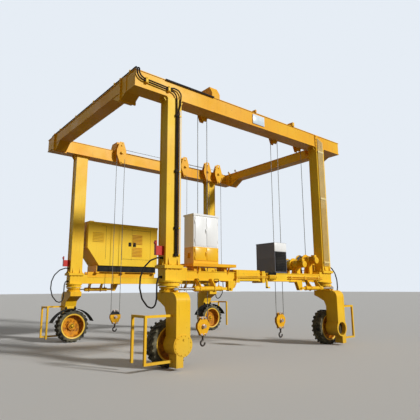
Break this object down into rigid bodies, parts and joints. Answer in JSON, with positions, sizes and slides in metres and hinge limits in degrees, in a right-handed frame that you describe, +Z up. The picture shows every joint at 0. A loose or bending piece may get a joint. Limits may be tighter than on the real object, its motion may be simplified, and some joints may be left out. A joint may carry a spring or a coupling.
{
  "type": "rubber tyred gantry crane",
  "caption": "Portal crane on steered rubber tyred wheels, with two box girders, cross beams, winches and hook blocks for lifting and carrying loads.",
  "frame": {"origin": "on the ground, in the middle between the four wheels", "axes": "+X along the girders, -Y the front side with the electrical cabinet, +Z up"},
  "size_m": [7.73, 6.528, 6.66],
  "materials": {
    "yellow_paint": "gloss structural yellow",
    "housing_paint": "yellow sheet metal",
    "white_paint": "white over yellow cabinet",
    "grey_paint": "grey cabinet",
    "red_plastic": "red box",
    "wire_rope": "greased wire rope",
    "hose_rubber": "black hose, pale pipes",
    "tyre_rubber": "dusty tyre",
    "mudguard_rubber": "black sheet",
    "rod_chrome": "bright rod"
  },
  "bodies": {
    "portal": {"front_girder": "yellow_paint", "back_girder": "yellow_paint", "left_cross_beam": "yellow_paint", "right_cross_beam": "yellow_paint", "front_left_column": "yellow_paint", "front_right_column": "yellow_paint", "back_left_column": "yellow_paint", "back_right_column": "yellow_paint", "front_sill": "yellow_paint", "back_sill": "yellow_paint", "upper_sheave_blocks": "yellow_paint", "winch_ropes": "wire_rope", "winch_frames": "yellow_paint", "generator_housing": "housing_paint", "generator_skid": "yellow_paint", "electrical_cabinet": "white_paint", "cabinet_platform": "yellow_paint", "power_unit": "grey_paint", "pipework": "hose_rubber", "alarm_boxes": "red_plastic", "steering_barrels": "yellow_paint", "front_left_rope_falls": "wire_rope", "front_right_rope_falls": "wire_rope", "back_left_rope_falls": "wire_rope", "back_right_rope_falls": "wire_rope"},
    "front_left_drum": {"front_left_drum": "yellow_paint"},
    "front_left_yoke": {"front_left_yoke": "yellow_paint", "front_left_guard": "yellow_paint"},
    "front_left_wheel": {"front_left_rim": "yellow_paint", "front_left_tyre": "tyre_rubber"},
    "front_left_steering_rod": {"front_left_steering_rod": "rod_chrome"},
    "front_left_hook_block": {"front_left_hook_block": "yellow_paint"},
    "front_right_drum": {"front_right_drum": "yellow_paint"},
    "front_right_yoke": {"front_right_yoke": "yellow_paint", "front_right_guard": "yellow_paint"},
    "front_right_wheel": {"front_right_rim": "yellow_paint", "front_right_tyre": "tyre_rubber"},
    "front_right_steering_rod": {"front_right_steering_rod": "rod_chrome"},
    "front_right_hook_block": {"front_right_hook_block": "yellow_paint"},
    "back_left_drum": {"back_left_drum": "yellow_paint"},
    "back_left_yoke": {"back_left_yoke": "yellow_paint", "back_left_guard": "yellow_paint", "back_left_mudguard": "mudguard_rubber"},
    "back_left_wheel": {"back_left_rim": "yellow_paint", "back_left_tyre": "tyre_rubber"},
    "back_left_steering_rod": {"back_left_steering_rod": "rod_chrome"},
    "back_left_hook_block": {"back_left_hook_block": "yellow_paint"},
    "back_right_drum": {"back_right_drum": "yellow_paint"},
    "back_right_yoke": {"back_right_yoke": "yellow_paint", "back_right_guard": "yellow_paint", "back_right_mudguard": "mudguard_rubber"},
    "back_right_wheel": {"back_right_rim": "yellow_paint", "back_right_tyre": "tyre_rubber"},
    "back_right_steering_rod": {"back_right_steering_rod": "rod_chrome"},
    "back_right_hook_block": {"back_right_hook_block": "yellow_paint"}
  },
  "joints": [
    {"name": "front_left_steer", "type": "hinge", "parent": "portal", "child": "front_left_yoke", "pos_m": [-2.775, -2.705, 1.65], "axis": [0, 0, 1], "range_deg": [-20, 20]},
    {"name": "front_left_rod_slide", "type": "slide", "parent": "portal", "child": "front_left_steering_rod", "axis": [1, 0, 0], "range_m": [-0.104, 0.104]},
    {"name": "front_left_wheel_spin", "type": "hinge", "parent": "front_left_yoke", "child": "front_left_wheel", "pos_m": [-2.775, -2.705, 0.4825], "axis": [0, 1, 0], "continuous": true},
    {"name": "front_left_hoist", "type": "slide", "parent": "portal", "child": "front_left_hook_block", "axis": [0, 0, 1], "range_m": [0, 4.2], "deforming": ["front_left_rope_falls"]},
    {"name": "front_left_drum_turn", "type": "hinge", "parent": "portal", "child": "front_left_drum", "pos_m": [1.75, -2.325, 2.27], "axis": [0, 1, 0], "range_deg": [0, 3212]},
    {"name": "front_right_steer", "type": "hinge", "parent": "portal", "child": "front_right_yoke", "pos_m": [2.775, -2.705, 1.65], "axis": [0, 0, 1], "range_deg": [-20, 20]},
    {"name": "front_right_rod_slide", "type": "slide", "parent": "portal", "child": "front_right_steering_rod", "axis": [1, 0, 0], "range_m": [-0.104, 0.104]},
    {"name": "front_right_wheel_spin", "type": "hinge", "parent": "front_right_yoke", "child": "front_right_wheel", "pos_m": [2.775, -2.705, 0.4825], "axis": [0, 1, 0], "continuous": true},
    {"name": "front_right_hoist", "type": "slide", "parent": "portal", "child": "front_right_hook_block", "axis": [0, 0, 1], "range_m": [0, 4.2], "deforming": ["front_right_rope_falls"]},
    {"name": "front_right_drum_turn", "type": "hinge", "parent": "portal", "child": "front_right_drum", "pos_m": [2.32, -2.325, 2.4], "axis": [0, 1, 0], "range_deg": [0, 3212]},
    {"name": "back_left_steer", "type": "hinge", "parent": "portal", "child": "back_left_yoke", "pos_m": [-2.775, 2.705, 1.65], "axis": [0, 0, 1], "range_deg": [-20, 20]},
    {"name": "back_left_rod_slide", "type": "slide", "parent": "portal", "child": "back_left_steering_rod", "axis": [1, 0, 0], "range_m": [-0.104, 0.104]},
    {"name": "back_left_wheel_spin", "type": "hinge", "parent": "back_left_yoke", "child": "back_left_wheel", "pos_m": [-2.775, 2.705, 0.4825], "axis": [0, 1, 0], "continuous": true},
    {"name": "back_left_hoist", "type": "slide", "parent": "portal", "child": "back_left_hook_block", "axis": [0, 0, 1], "range_m": [0, 4.2], "deforming": ["back_left_rope_falls"]},
    {"name": "back_left_drum_turn", "type": "hinge", "parent": "portal", "child": "back_left_drum", "pos_m": [1.75, 2.325, 2.27], "axis": [0, 1, 0], "range_deg": [0, 3212]},
    {"name": "back_right_steer", "type": "hinge", "parent": "portal", "child": "back_right_yoke", "pos_m": [2.775, 2.705, 1.65], "axis": [0, 0, 1], "range_deg": [-20, 20]},
    {"name": "back_right_rod_slide", "type": "slide", "parent": "portal", "child": "back_right_steering_rod", "axis": [1, 0, 0], "range_m": [-0.104, 0.104]},
    {"name": "back_right_wheel_spin", "type": "hinge", "parent": "back_right_yoke", "child": "back_right_wheel", "pos_m": [2.775, 2.705, 0.4825], "axis": [0, 1, 0], "continuous": true},
    {"name": "back_right_hoist", "type": "slide", "parent": "portal", "child": "back_right_hook_block", "axis": [0, 0, 1], "range_m": [0, 4.2], "deforming": ["back_right_rope_falls"]},
    {"name": "back_right_drum_turn", "type": "hinge", "parent": "portal", "child": "back_right_drum", "pos_m": [2.32, 2.325, 2.4], "axis": [0, 1, 0], "range_deg": [0, 3212]}
  ],
  "couplings": [
    {"joint": "front_left_rod_slide", "follows": "front_left_steer", "m_per_rad": 0.295},
    {"joint": "front_left_drum_turn", "follows": "front_left_hoist", "rad_per_m": 13.333},
    {"joint": "front_right_rod_slide", "follows": "front_right_steer", "m_per_rad": 0.295},
    {"joint": "front_right_drum_turn", "follows": "front_right_hoist", "rad_per_m": 13.333},
    {"joint": "back_left_rod_slide", "follows": "back_left_steer", "m_per_rad": -0.295},
    {"joint": "back_left_drum_turn", "follows": "back_left_hoist", "rad_per_m": 13.333},
    {"joint": "back_right_rod_slide", "follows": "back_right_steer", "m_per_rad": -0.295},
    {"joint": "back_right_drum_turn", "follows": "back_right_hoist", "rad_per_m": 13.333}
  ]
}
